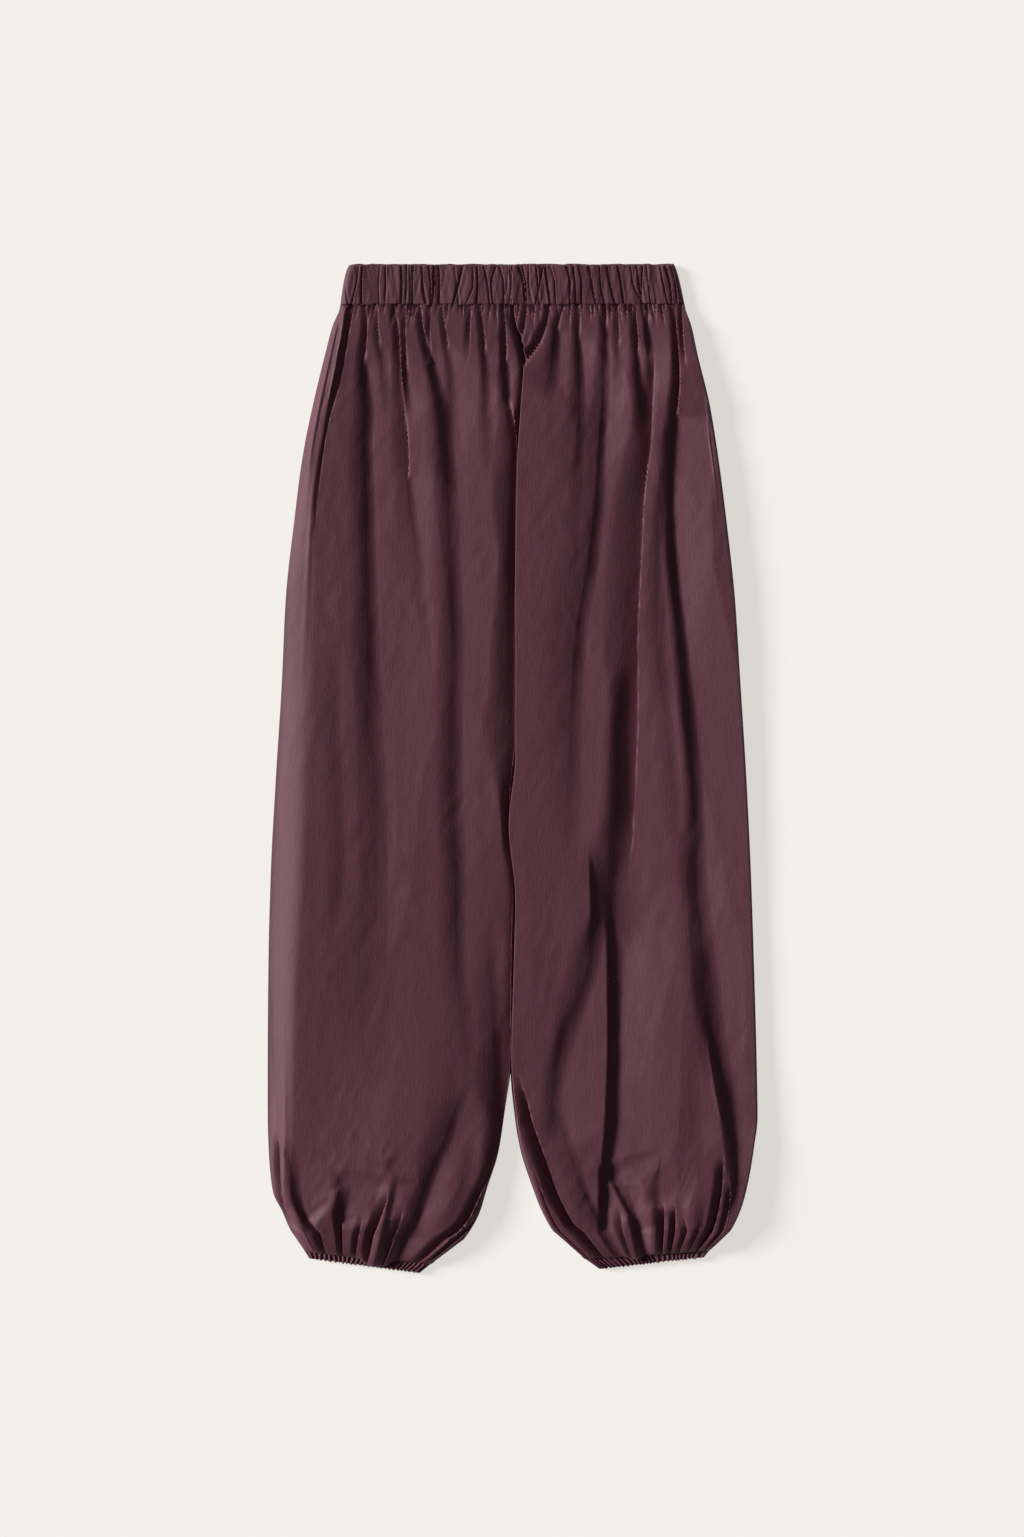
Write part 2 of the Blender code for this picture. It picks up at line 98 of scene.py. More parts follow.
LEFT_SECTIONS = (
    Section(172.0, 42.0, 0.0, 42.0, 8.0, 4.2, 2.0, 8, 9),
    Section(173.0, 47.0, 0.0, 47.0, 9.5, 4.2, 2.0, 8, 9),
    Section(178.5, 62.0, 0.0, 62.0, 12.0, 4.6, 2.0, 9, 8),
    Section(185.0, 92.0, 0.0, 92.0, 13.5, 5.4, 2.0, 10, 6),
    Section(197.0, 142.0, 0.0, 142.0, 15.0, 6.2, 2.0, 10, 5),
    Section(205.5, 195.0, 0.0, 195.0, 15.0, 6.8, 2.0, 10, 5),
    Section(214.0, 261.0, 0.0, 261.0, 15.0, 7.0, 2.0, 11, 5),
    Section(222.0, 335.0, 0.0, 335.0, 15.0, 7.0, 2.0, 12, 5),
    Section(227.5, 420.0, 0.0, 420.0, 15.0, 7.0, 2.0, 12, 6),
    Section(233.5, 516.0, 0.0, 516.0, 14.5, 6.6, 2.0, 13, 7),
    Section(238.0, 610.0, 0.0, 610.0, 14.5, 6.4, 2.0, 14, 8),
    Section(241.0, 700.0, 0.0, 700.0, 15.5, 6.4, 2.0, 15, 10),
    Section(243.5, 790.0, 0.0, 790.0, 17.0, 7.0, 3.2, 17, 14),
    Section(244.5, 850.0, 4.6, 850.0, 19.0, 7.6, 5.6, 20, 18),
    Section(241.0, 882.0, 10.8, 886.0, 20.5, 8.0, 7.4, 22, 22),
    Section(234.5, 920.0, 22.5, 922.0, 21.0, 8.0, 8.0, 24, 24),
    Section(228.0, 944.0, 31.0, 944.0, 20.0, 7.6, 8.0, 24, 24),
    Section(217.5, 966.0, 43.0, 966.0, 17.0, 6.6, 7.0, 20, 22),
    Section(208.0, 976.0, 58.0, 983.0, 13.0, 5.2, 5.6, 14, 16),
    Section(196.5, 986.0, 75.0, 994.0, 7.6, 3.4, 3.4, 8, 8),
)

# Rows of the fine grid between two neighbouring sections
SECTION_ROWS = (6, 12, 12, 12, 10, 11, 12, 13, 13, 13, 13, 13, 11, 11, 14, 11, 10)
BLOUSE_SECTION = len(SECTION_ROWS)
BLOUSE_ROWS = 18
EDGE_COLUMNS = 18
INNER_COLUMNS = 184

# The middle line: the centre front seam, and below the crotch the line where the legs lie side by side
MIDDLE = (
    (42, 0.0), (47, 0.0), (95, 10.0), (142, 7.0), (209, 3.0), (325, 1.5), (492, 1.5), (560, -5.0), (635, 1.5),
    (700, 0.0), (796, -2.5), (1009, -2.5),
)

# A fold is a row for each of its stations: down, across, depth, and the widths of its left and right walls.
# A negative depth is a ridge.
RIGHT_FOLDS = (
    ((42, -161, 3, 3, 3), (66, -165, 4, 3, 3), (116, -173.5, 3.5, 5, 3), (152, -184, 2.6, 5, 3), (176, -189, 2, 5, 3),
     (213, -194, 1.2, 5, 3), (236, -196.5, 0.6, 5, 3), (260, -199, 0, 4, 3)),
    ((42, -148.5, 3, 4, 3), (66, -147.5, 4, 5, 3), (100, -150, 5, 9, 4), (116, -149.5, 6, 12, 6), (150, -147.5, 6.5, 15, 9),
     (176, -149, 6.5, 16, 9), (236, -147.5, 6.5, 17, 10), (296, -147, 6, 17, 11), (376, -144.5, 6, 19, 12),
     (456, -143.5, 4.5, 16, 13), (536, -137.5, 2.4, 22, 13), (616, -137, 1.8, 20, 13), (700, -139, 0, 14, 14)),
    ((42, -137.5, 1.6, 3, 3), (66, -136.5, 2.4, 4, 3), (116, -128.5, 1.6, 6, 6), (165, -124.5, 0, 6, 6)),
    ((42, -121.5, 2.6, 4, 3), (66, -116.5, 3.5, 5, 3), (116, -113.5, 4, 8, 3), (150, -110, 4.2, 12, 3),
     (176, -107, 4.6, 16, 3), (205, -106, 4.2, 16, 3.4), (236, -104, 3.6, 17, 7), (296, -97, 2.2, 17, 8),
     (350, -94, 1, 18, 10), (420, -90, 0, 16, 12)),
    ((42, -109, 1.8, 2.5, 3), (66, -109.5, 2.6, 3, 3), (116, -107.5, 3.4, 2.5, 4), (158, -102.5, 0, 4, 6)),
    ((42, -95, 2.8, 4, 3), (66, -91.5, 3.8, 5, 3), (90, -86, 4.5, 6, 4), (116, -79.5, 5.5, 8, 6), (150, -71, 6.5, 11, 9),
     (176, -68.5, 6.5, 12, 9), (236, -64.5, 6.5, 16, 11), (296, -63.5, 6.5, 20, 12), (376, -60, 6, 19, 12),
     (456, -61.5, 5.5, 18, 12), (536, -61, 5.2, 18, 12), (616, -57, 5.2, 18, 11), (696, -57, 3.8, 20, 10),
     (750, -53, 2.2, 22, 12), (800, -50, 0, 22, 14)),
    ((42, -83.5, 2, 3, 3), (66, -85, 2.6, 3, 3), (100, -84, 0, 4, 3)),
    ((42, -73.5, 2, 3, 3), (66, -69.5, 2.8, 4, 3), (116, -62.5, 2.4, 7, 6), (150, -61, 1.6, 7, 7), (190, -57, 0, 6, 7)),
    ((42, -44.5, 2.4, 3, 3), (66, -45, 3, 4, 3), (96, -46, 0, 5, 3)),
    ((42, -35.5, 2.4, 3, 3), (66, -31.5, 3.6, 5, 3), (90, -29.5, 3.6, 6, 4), (116, -28, 3.6, 7, 6), (150, -28, 2.6, 9, 7),
     (176, -26, 2, 9, 8), (215, -24, 0, 8, 8)),
    ((42, -11.5, 2.6, 3, 3), (66, -9.5, 4.2, 5, 3), (100, -9, 5.5, 6, 4), (116, -8.5, 5.5, 8, 6), (140, -6, 5, 10, 4),
     (156, -2, 6.5, 14, 3), (176, 1.5, 8, 20, 2.6), (205, 2, 8.5, 22, 2.6), (236, 1.5, 9, 23, 2.6), (296, 1, 9, 16, 2.6),
     (342, 0.5, 9, 20, 2.6), (376, -0.5, 9, 22, 2.6), (425, -0.5, 9.5, 24, 2.6), (456, 0, 10, 30, 2.6),
     (480, 0, 9, 28, 2.6), (505, -3, 7.5, 18, 2.6), (536, -5.5, 7, 9, 2.6), (570, -5.5, 4, 8, 2.6), (600, -5, 0, 8, 2.6)),
    ((560, -2, 0, 44, 3), (616, -2, 3, 46, 3), (696, -4, 5, 50, 3), (776, -4, 6, 50, 3), (840, -8, 5, 44, 3),
     (880, -10, 0, 40, 3)),
    ((650, -30, 0, 14, 10), (700, -26, 1.6, 18, 8), (776, -21, 4, 20, 8), (830, -20, 6, 20, 9), (856, -18, 6.5, 16, 8),
     (890, -22, 5.5, 12, 8), (915, -30, 0, 8, 8)),
    ((376, -178, 0, 12, 8), (456, -179, 1.2, 14, 8), (536, -176, 1.0, 14, 8), (616, -175, 1.2, 12, 8),
     (680, -190, 0, 10, 8)),
)

# Narrow ridges that stand up from the panel, such as a pressed seam
RIGHT_RIDGES = (
    ((46, -167, 1, 2, 2), (66, -169.5, 1.8, 3, 2.5), (116, -179, 1.5, 2.5, 2.5), (176, -191, 1.5, 2.5, 2.5),
     (236, -199.5, 1.5, 3, 2.5), (296, -203, 1.2, 4, 3), (376, -207, 0.7, 4, 3), (436, -212, 0, 3, 3)),
    ((46, -171, -0.6, 2, 2), (66, -174, -1.0, 3, 2), (116, -184, -0.8, 2.5, 2), (176, -196, -0.8, 3, 3),
     (220, -203, 0, 2, 2)),
    ((90, -111.5, 0, 1.5, 1.5), (110, -110.8, 1.2, 1.5, 1.5), (140, -108, 0, 1.5, 1.5)),
    ((700, -229, 0, 3, 4), (776, -228, 0.6, 3, 4), (860, -227, 1.6, 3, 6), (925, -228.5, 1.8, 3, 6),
     (943, -226, 1.6, 3, 5), (955, -219, 1.2, 3, 4), (969, -207, 1, 3, 4)),
    ((696, -239, 0, 3, 3), (776, -238, -0.8, 3, 3), (856, -232, -1.4, 3, 3), (900, -232, -1, 3, 3),
     (930, -230, 0, 3, 3)),
)

# How the panel falls gently towards its outer edge, and over what width, by the distance down
RIGHT_EDGE_FALL = ((42, 0.0), (616, 0.0), (740, 1.0), (860, 3.0), (920, 2.0), (987, 0.0))
LEFT_EDGE_FALL = ((42, 0.0), (1009, 0.0))
EDGE_FALL_WIDTH = 135.0

# How wide the sloping side is, at the edge that faces the light and at the other legs' edges
RIGHT_SIDE = (
    (42, 6.0), (170, 9.0), (240, 16.0), (300, 28.0), (376, 34.0), (600, 36.0), (690, 30.0), (776, 28.0), (860, 26.0),
    (930, 20.0), (1009, 8.0),
)
LEFT_SIDE = ((42, 3.0), (700, 1.6), (880, 1.6), (1009, 4.0))
LEFT_OUTER_UNDERCUT = ((42, 1.0), (150, 3.0), (880, 3.0), (960, 1.0), (1009, 0.0))

# How far the inner edge's foot lies under its lip. The right leg's lies under the left leg's lip instead.
RIGHT_UNDERCUT = ((42, -1.6), (780, -1.6), (860, 0.0), (1009, 0.0))
BACK_SIDE = ((42, 8.0), (600, 12.0), (900, 20.0), (1009, 8.0))
NO_UNDERCUT = ((42, 0.0), (1009, 0.0))
LEFT_UNDERCUT = ((42, 3.0), (780, 3.0), (880, 1.0), (1009, 0.5))

RIGHT_HEM_FOLDS = (
    ((872, -236, 0, 3, 2.6), (888, -234.5, 5, 5, 2.6), (905, -234, 6, 6, 2.6), (925, -232.5, 5, 6, 2.6),
     (943, -229, 4, 5, 2.6), (955, -222, 3, 5, 2.6), (969, -209, 0, 4, 2.6)),
    ((872, -226, 0, 4, 6), (900, -221, 3, 7, 9), (930, -218, 5.5, 8, 8), (950, -210, 6.5, 8, 5), (966, -196, 6, 6, 3),
     (980, -182, 4.5, 5, 3), (990, -176, 3, 4, 3)),
    ((903, -172, 0, 8, 10), (914, -172, 4, 10, 12), (932, -171, 6, 9, 10), (950, -174, 7, 7, 5), (970, -172, 7.5, 5, 3),
     (988, -169, 6, 4, 3)),
    ((928, -126, 0, 4, 3), (942, -130.5, 6, 8, 3), (960, -137, 8.5, 9, 2.6), (975, -143, 8.5, 7, 2.6),
     (990, -148, 7, 5, 3)),
    ((952, -152, 0, 4, 3), (966, -155, 4, 5, 3), (980, -158, 5, 5, 3), (990, -159, 4, 4, 3)),
    ((820, -48, 0, 16, 8), (851, -60, 3, 22, 8), (880, -71, 4.5, 22, 9), (898, -80, 5.5, 22, 9), (930, -92, 6, 19, 8),
     (960, -102, 7, 14, 7), (982, -117, 7, 9, 4), (998, -131, 5, 6, 3)),
    ((940, -110, 0, 5, 4), (962, -117, 3.5, 6, 3), (984, -127, 4.5, 5, 3), (996, -133, 3, 4, 3)),
    ((895, -21, 0, 4, 3), (909, -25, 4, 8, 2.8), (930, -35, 6, 9, 2.6), (955, -48, 8, 9, 2.6), (968, -60.5, 8.5, 8, 2.6),
     (975, -73, 8, 7, 2.6), (985, -93, 6.5, 6, 2.6), (996, -114.5, 0, 4, 3)),
    ((938, -30, 0, 4, 3), (955, -39, 5, 5, 2.6), (970, -53, 6, 5, 2.6), (981, -67, 5, 4, 2.6), (990, -84, 0, 4, 3)),
    ((898, -132, 0, 4, 3), (905, -118, 1.2, 4, 5), (912, -104, 1.0, 4, 5), (915, -94, 0, 4, 4)),
)

LEFT_FOLDS = (
    ((42, 12, 2.6, 3, 3), (65, 9.5, 4, 5, 3), (83, 5.5, 3.5, 4, 3), (96, 6, 0, 4, 3)),
    ((42, 35.5, 3, 4, 3), (62, 31.5, 5, 6, 3), (78, 26, 6.5, 9, 2.6), (90, 18, 7, 10, 2.6), (100, 10, 4.5, 8, 3)),
    ((70, 18, 0, 4, 3), (78, 13, 2.4, 4, 3), (86, 8, 0, 4, 3)),
    ((42, 49.5, 2.6, 4, 3), (61, 43.5, 4, 6, 3.4), (78, 42, 4.5, 8, 6), (101, 38.5, 5, 14, 9), (116, 35, 5, 26, 12),
     (134, 28, 0, 24, 14)),
    ((42, 64.5, 2.4, 5, 3), (66, 64, 4, 6, 3.6), (90, 65, 5, 9, 5), (116, 65.5, 5, 11, 7), (176, 64, 3, 18, 8),
     (236, 60, 1, 16, 8), (290, 55, 0, 16, 8)),
    ((42, 90.5, 3.4, 4, 3), (66, 91, 4.5, 7, 4), (90, 91, 5, 9, 6), (116, 90, 6, 12, 8), (176, 86, 7, 26, 8),
     (236, 82, 6.8, 28, 10), (296, 75, 6.8, 34, 11), (376, 62, 6, 36, 12), (456, 57, 4.2, 34, 12), (536, 54, 2.4, 28, 14),
     (600, 50, 0, 24, 14)),
    ((42, 102.5, 2, 4, 3), (66, 103.5, 2.6, 5, 3), (95, 104, 1.6, 5, 5), (116, 103, 1, 5, 6), (150, 103, 0, 6, 6)),
    ((42, 119.5, 3, 4, 3), (66, 121.5, 5, 6, 3), (90, 123, 5.5, 8, 4), (116, 124, 6, 10, 5), (145, 127, 4, 10, 5),
     (176, 126, 0, 10, 6)),
    ((400, 110, 0, 14, 6), (430, 107, 4, 14, 8), (456, 104.5, 6, 14, 9), (536, 103.5, 7.5, 18, 13), (616, 100, 9.5, 20, 16),
     (656, 99, 9.5, 9, 15), (696, 97.5, 8, 4, 12), (776, 97.5, 7.5, 3.4, 10), (856, 95, 7.5, 4, 10),
     (889, 92, 7, 4, 9), (905, 90, 5, 4, 6), (918, 88, 0, 4, 5)),
    ((96, 139, 0, 8, 3), (116, 138, 6, 12, 3), (140, 137, 8, 18, 2.6), (176, 135.5, 9.5, 22, 2.6),
     (236, 128.5, 10.5, 30, 2.6), (296, 125.5, 10.5, 34, 2.6), (376, 122, 10, 34, 2.6), (456, 122, 9.5, 26, 2.6),
     (500, 120.5, 8, 26, 2.6), (536, 119, 6, 26, 2.6), (580, 117, 0, 20, 3)),
    ((42, 132, 2, 3, 3), (66, 133, 4, 4, 4), (100, 135.5, 2.5, 5, 6), (130, 137, 0, 5, 6)),
    ((200, 148, 0, 8, 5), (236, 145, 2.4, 8, 6), (296, 143.5, 3.6, 12, 8), (376, 143, 2.4, 14, 9), (456, 152, 1.4, 16, 8),
     (536, 160, 1.6, 14, 8), (600, 164, 0, 10, 8)),
    ((42, 158, 2.6, 3, 3), (66, 160.5, 4.5, 5, 3), (90, 163, 6, 6, 2.6), (116, 164, 8, 8, 2.6), (140, 162, 7.5, 9, 3),
     (176, 157, 7, 11, 7), (236, 156, 6.5, 12, 6), (296, 158.5, 6.5, 8, 6), (376, 167, 6.5, 10, 7),
     (456, 174, 7.5, 10, 9), (536, 181, 7.5, 12, 10), (616, 182, 8, 20, 13), (696, 190, 8.5, 24, 14),
     (776, 199, 8.5, 10, 16), (856, 210.5, 8.5, 5, 12), (889, 216, 6.5, 5, 9),
     (925, 217, 4, 4, 8), (950, 213, 0, 4, 8)),
    ((42, 166.5, 2.6, 2.5, 3), (66, 167, 3.4, 2.5, 3), (84, 168, 2.6, 3, 3), (105, 170, 0, 3, 4)),
    ((585, 79, 0, 5, 7), (616, 79.5, 5, 3.4, 14), (650, 81, 6.5, 4, 14), (696, 76, 6.5, 24, 12), (740, 62, 6, 20, 12),
     (776, 49, 6, 12, 14), (812, 42, 4.5, 14, 10), (856, 38, 3, 14, 9), (885, 34, 0, 12, 9)),
    ((560, 170, 0, 30, 8), (616, 174, 2, 44, 10), (696, 178, 3, 54, 12), (776, 184, 3, 56, 12), (830, 194, 0, 40, 12)),
    ((796, 172, 0, 40, 12), (856, 176, 2, 50, 12), (890, 176, 0, 26, 14)),
)

# Broad rounded rises of the panels, with how high each stands
RIGHT_SWELLS = (
    ((330, -196, 0, 28, 60), (420, -200, 2, 28, 70), (500, -205, 3.5, 30, 80), (620, -208, 4.5, 30, 90),
     (740, -213, 4, 26, 90), (840, -216, 2.5, 24, 80), (900, -212, 0, 20, 60)),
    ((740, -95, 0, 120, 50), (800, -92, 2.5, 120, 50), (870, -95, 5, 120, 45), (930, -100, 3, 110, 40),
     (975, -110, 0, 90, 30)),
    ((905, -118, 0, 10, 8), (925, -123, 2.5, 12, 8), (960, -130, 3, 12, 7), (990, -136, 2, 8, 6)),
    ((865, -55, 0, 20, 16), (900, -56, 2, 22, 18), (940, -66, 2.5, 20, 16), (975, -88, 0, 14, 12)),
)
LEFT_SWELLS = (
    ((915, 136, 0, 16, 12), (945, 138, 2.5, 14, 9), (980, 138, 2, 8, 7)),
    ((925, 180, 0, 12, 12), (955, 180, 2, 14, 12), (980, 176, 1, 10, 10)),
)

LEFT_RIDGES = (
    ((120, 192, 0, 1.5, 1.5), (140, 193.5, 0.9, 1.5, 1.5), (176, 196, 0.9, 1.5, 1.5), (211, 200.5, 0.9, 1.5, 1.5),
     (250, 204.5, 0, 1.5, 1.5)),
    ((776, 194.5, 1.2, 3, 3), (828, 202.5, 1.6, 3, 3), (873, 213.5, 2, 3, 3), (893, 216.5, 2, 3, 3),
     (924, 216.5, 1.6, 3, 3), (957, 209.5, 1, 3, 3), (974, 194.5, 0, 3, 3)),
)

LEFT_HEM_FOLDS = (
    ((812, 4, 0, 6, 3), (836, 12, 5, 9, 2.6), (856, 17, 7, 11, 2.6), (879, 25, 8.5, 12, 2.6), (904, 34, 9, 12, 2.6),
     (928, 42.5, 9.5, 11, 2.6), (945, 51, 9, 9, 2.6), (960, 60, 8.5, 8, 2.6), (971, 76, 7.5, 6, 2.6),
     (980, 92, 7, 6, 2.6), (988, 108.5, 6, 5, 2.6), (998, 125.5, 0, 4, 3)),
    ((904, 20, 0, 4, 3), (922, 25.5, 4, 6, 2.6), (940, 32, 6, 6, 2.6), (966, 46, 6.5, 6, 2.6), (981, 65, 5, 5, 2.6),
     (991, 84.5, 0, 4, 3)),
    ((842, 44, 0, 10, 6), (870, 50, 2.5, 14, 8), (905, 62, 3, 16, 8), (935, 74, 3.5, 14, 6), (960, 88, 3, 10, 5),
     (975, 100, 0, 8, 4)),
    ((898, 87, 0, 3, 4), (914, 88, 6, 3, 5), (935, 88.5, 7, 4, 5), (955, 88, 5, 4, 5), (968, 87, 0, 4, 5)),
    ((900, 90, 0, 3, 5), (914, 99, 4, 4, 9), (928, 107, 6, 5, 9), (941, 114, 6.5, 6, 8), (960, 121, 7.5, 7, 5),
     (982, 126, 8, 6, 3), (998, 125, 6, 4, 3)),
    ((944, 104, 0, 5, 4), (960, 106, 3.5, 6, 3), (976, 109, 4.5, 5, 3), (990, 111, 4, 4, 3)),
    ((937, 128, 0, 5, 7), (939.5, 146, 3, 5, 10), (939, 158, 3, 5, 10), (946, 172, 0, 5, 7)),
    ((940, 148, 0, 4, 3), (955, 148.5, 6, 6, 2.6), (970, 148, 8, 6, 2.6), (984, 147, 7, 5, 3)),
    ((940, 159, 0, 4, 3), (955, 159.5, 6, 5, 2.6), (970, 159, 8, 5, 2.6), (984, 157, 7, 4, 3)),
    ((952, 168, 0, 4, 3), (966, 171, 4, 5, 3), (982, 171, 5, 4, 3)),
    ((958, 182, 0, 4, 3), (970, 183, 4, 5, 3), (984, 182, 4, 4, 3)),
    ((890, 207, 0, 5, 3), (912, 206.5, 6, 8, 2.6), (940, 203, 8, 8, 2.6), (960, 198, 8, 7, 2.8), (976, 192, 6, 5, 3)),
    ((914, 214, 0, 3, 3), (936, 213, 4.5, 4, 2.6), (958, 209, 5, 4, 2.6), (974, 202, 0, 3, 3)),
)

# How far the cloth hangs over its hem casing, by where that is across
RIGHT_OVERHANG = (
    (-207, 0.0), (-170, 0.3), (-155, 0.6), (-148, 5.0), (-140, 7.5), (-130, 6.5), (-122, 2.0), (-112, 0.3), (-82, 0.0),
)
LEFT_OVERHANG = (
    (73, 0.0), (112, 0.5), (120, 2.5), (126, 4.0), (131, 1.0), (140, 0.3), (197, 0.0),
)

# One row for each main crease of the waistband: where it lies across at the top, in the middle and at the foot,
# and its depth
BAND_CREASES = (
    (-162.6, -166.6, -163.7, 0.8), (-152.8, -155.7, -160.3, 1.2), (-148.8, -150.5, -150.5, 1.9),
    (-131.6, -133.5, -132.7, 0.8), (-126.4, -126.6, -127.0, 1.3), (-111.1, -110.3, -110.9, 1.9),
    (-105.5, -105.7, -106.5, 1.2), (-102.9, -101.5, -102.5, 0.9), (-98.5, -100.0, -99.5, 2.0),
    (-90.5, -89.5, -86.2, 2.0), (-83.5, -81.6, -81.1, 1.4), (-78.2, -78.5, -79.9, 2.4), (-73.6, -72.8, -73.3, 1.9),
    (-58.1, -55.5, -53.0, 0.6), (-48.0, -53.5, -59.3, 1.3), (-39.2, -39.2, -46.6, 1.4), (-35.1, -34.5, -35.7, 2.0),
    (-29.5, -24.8, -22.5, 1.4), (-15.0, -20.8, -19.1, 1.3), (-13.5, -8.7, -8.2, 1.3), (-3.5, -1.2, -3.0, 1.1),
    (-4.5, -5.0, -10.0, 0.8), (0.3, -1.0, -1.0, 0.9), (5.5, 11.1, 13.0, 1.9), (9.2, 13.0, 14.3, 1.8),
    (16.2, 16.5, 20.5, 0.9), (23.5, 25.5, 27.0, 1.0), (31.5, 27.5, 23.2, 1.4), (32.1, 35.0, 37.9, 2.0),
    (36.5, 42.3, 43.0, 1.4), (53.5, 57.5, 57.5, 2.0), (60.5, 62.5, 63.5, 1.9), (65.5, 69.1, 69.1, 1.9),
    (75.5, 79.3, 83.2, 2.1), (87.0, 88.0, 92.5, 1.4), (94.0, 97.5, 102.9, 2.1), (104.5, 108.5, 111.2, 2.0),
    (117.5, 120.5, 131.5, 1.4), (123.3, 126.5, 129.1, 1.8), (133.5, 135.5, 138.0, 1.0), (130.4, 129.1, 128.5, 1.4),
    (146.5, 150.5, 155.5, 1.4), (152.0, 157.1, 159.5, 2.0), (157.1, 162.2, 164.8, 1.5), (165.0, 169.0, 170.5, 0.8),
)


def ease(t):
    """Smooth step from 0 to 1."""
    t = np.clip(t, 0.0, 1.0)
    return t * t * (3 - 2 * t)


def curve(points, at):
    """Values at some places on the smooth curve through (station, value) points. It never overshoots."""
    stations, values = (np.array(column, float) for column in zip(*points))
    spans = np.diff(stations)
    steps = np.diff(values) / spans
    before, after = steps[:-1], steps[1:]
    same = before * after > 0
    total = np.where(same, before + after, 1.0)
    inner = np.where(same, 2 * before * after / total, 0.0)
    slope = np.concatenate([steps[:1], inner, steps[-1:]])
    at = np.clip(np.asarray(at, float), stations[0], stations[-1])
    k = np.clip(np.searchsorted(stations, at, side="right") - 1, 0, len(spans) - 1)
    t = (at - stations[k]) / spans[k]
    start = (1 + 2 * t) * (1 - t) ** 2 * values[k] + t * (1 - t) ** 2 * spans[k] * slope[k]
    return start + t * t * (3 - 2 * t) * values[k + 1] + t * t * (t - 1) * spans[k] * slope[k + 1]


def noise(across, down, cell_across, cell_down, seed):
    """A smooth uneven field from -1 to 1, with humps of about the cell's size."""
    u = across / cell_across + 1000.0
    v = down / cell_down + 1000.0
    i, j = np.floor(u).astype(int), np.floor(v).astype(int)
    a, b = ease(u - i), ease(v - j)
    i -= i.min()
    j -= j.min()
    lattice = np.random.default_rng(seed).uniform(-1, 1, (i.max() + 2, j.max() + 2))
    near = lattice[i, j] * (1 - a) + lattice[i + 1, j] * a
    far = lattice[i, j + 1] * (1 - a) + lattice[i + 1, j + 1] * a
    return near * (1 - b) + far * b


def fold_depth(across, down, rows, kind):
    """How far one fold lowers each point, and how far that point tucks in under a sharp right lip.

    Kinds are a pleat, a V crease and a round channel.
    A pleat drops from a rounded shoulder on its left. Its right side is either one steep wall or, where its right
    width is large, a floor that goes on falling over that width and then climbs back on a long gentle ramp.
    """
    rows = np.array(rows, float)
    run = np.hypot(np.diff(rows[:, 0]), np.diff(rows[:, 1]))
    along = np.concatenate([[0.0], np.cumsum(run)])
    fine = np.linspace(0.0, along[-1], max(8, 6 * len(rows)))
    line = np.stack([curve(tuple(zip(along, column)), fine) for column in rows.T], axis=1)
    reach = max(rows[:, 3:].max(), rows[:, 4].max() + rows[:, 2].max() / RISE_LEAST if kind == "pleat" else 0.0)
    low = line[:, :2].min(axis=0) - reach
    high = line[:, :2].max(axis=0) + reach
    near = (down > low[0]) & (down < high[0]) & (across > low[1]) & (across < high[1])
    depth = np.zeros_like(across)
    tuck = np.zeros_like(across)
    x, y = across[near], down[near]
    if not len(x):
        return depth, tuck
    best = np.full(len(x), 1e9)
    found = np.zeros((len(x), 4))
    for a, b in zip(line, line[1:]):
        run_down, run_across = b[0] - a[0], b[1] - a[1]
        off_down, off_across = y - a[0], x - a[1]
        t = np.clip((off_down * run_down + off_across * run_across) / (run_down ** 2 + run_across ** 2), 0, 1)
        away = np.hypot(off_down - t * run_down, off_across - t * run_across)
        side = run_down * off_across - run_across * off_down
        closer = away < best
        best = np.where(closer, away, best)
        values = a[2:] + (b - a)[2:] * t[:, None]
        row = np.concatenate([values, side[:, None]], axis=1)
        found = np.where(closer[:, None], row, found)
    left, right = np.maximum(found[:, 1], 0.1), np.maximum(found[:, 2], 0.1)
    on_left = found[:, 3] < 0
    width = np.where(on_left, left, right)
    t = np.clip(best / width, 0, 1)
    if kind == "pleat":
        # A soft right side goes on falling to the floor, and then climbs back slowly enough to stay dim
        soft = ease((right - CRISP_WIDTH) / 1.5)
        t = np.clip(best / width, 0, 1)
        deep = np.maximum(found[:, 0], 0.1)
        floor_share = FLOOR_SHARE * soft
        rise = np.clip(deep / (6.0 * right), RISE_LEAST, RISE_MOST)
        past = np.clip(best / right, 0, 1)
        climb = np.clip(best - right, 0, None) * rise / deep
        soft_side = 1 - floor_share + floor_share * (1 - (1 - past) ** 2) - climb
        steep_side = (1 - t) ** 1.2
        left_side = (1 - floor_share) * (1 - t) ** (1.7 + 0.3 * soft)
        shape = np.where(on_left, left_side, (1 - soft) * steep_side + soft * soft_side)
        shape = np.maximum(shape, 0)
    elif kind == "crease":
        shape = 0.25 * (1 - ease(t)) + 0.75 * (1 - t) ** 2
    else:
        shape = 1 - ease(t)
    depth[near] = found[:, 0] * shape
    tuck[near] = np.maximum(shape, 0) * (right + UNDERCUT_SHARE * found[:, 0]) * (1 - ease((right - CRISP_WIDTH) / 1.5))
    return depth, tuck


